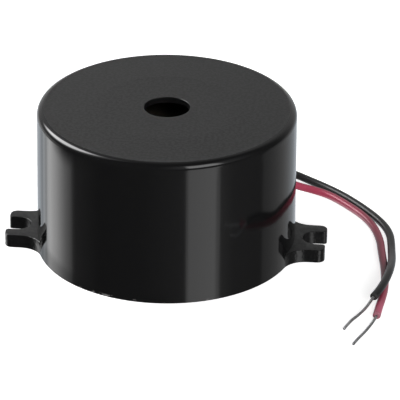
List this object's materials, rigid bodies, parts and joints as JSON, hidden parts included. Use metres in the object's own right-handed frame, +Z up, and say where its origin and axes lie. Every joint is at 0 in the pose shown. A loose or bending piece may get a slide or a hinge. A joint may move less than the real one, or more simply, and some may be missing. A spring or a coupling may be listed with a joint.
{
  "type": "piezo buzzer",
  "caption": "Round black moulded piezo buzzer with a sound hole in the top, forked screw ears at the base and flying red and black leads.",
  "frame": {"origin": "centre of the round case on its base plane", "axes": "+Z up through the sound hole, +X along the line of the two ears, leads leave the wall at the rear right, between +X and +Y"},
  "size_m": [0.0637, 0.0569, 0.0245],
  "materials": {
    "case_plastic": "polished black side wall with a fine matt top",
    "cover_plastic": "matt black",
    "epoxy": "dark cured epoxy",
    "brass": "rolled sheet",
    "ceramic": "fired silver electrode on lead zirconate ceramic",
    "sealant": "cured silicone",
    "solder": "bright tin solder",
    "laminate": "phenolic paper laminate",
    "component_epoxy": "moulded epoxy",
    "resistor_coat": "dipped lacquer",
    "ferrite": "sintered ferrite",
    "copper_wire": "enamelled copper",
    "wire_black": "thin insulation",
    "wire_red": "thin insulation",
    "wire_blue": "thin insulation",
    "lead_red": "satin crimson vinyl",
    "lead_black": "satin black vinyl",
    "tinned_copper": "twisted and tinned strands"
  },
  "bodies": {
    "root": {"case": "case_plastic", "base_cover": "cover_plastic", "cover_glue": "epoxy", "diaphragm_plate": "brass", "piezo_disc": "ceramic", "diaphragm_bead": "sealant", "diaphragm_solder": "solder", "circuit_board": "laminate", "board_solder": "solder", "transistor": "component_epoxy", "polarity_diode": "component_epoxy", "bias_resistor": "resistor_coat", "base_resistor": "resistor_coat", "discharge_resistor": "resistor_coat", "coil_core": "ferrite", "coil_winding": "copper_wire", "plate_wire": "wire_black", "electrode_wire": "wire_red", "feedback_wire": "wire_blue", "lead_solder": "solder", "red_lead": "lead_red", "red_lead_tip": "tinned_copper", "black_lead": "lead_black", "black_lead_tip": "tinned_copper"}
  },
  "joints": []
}
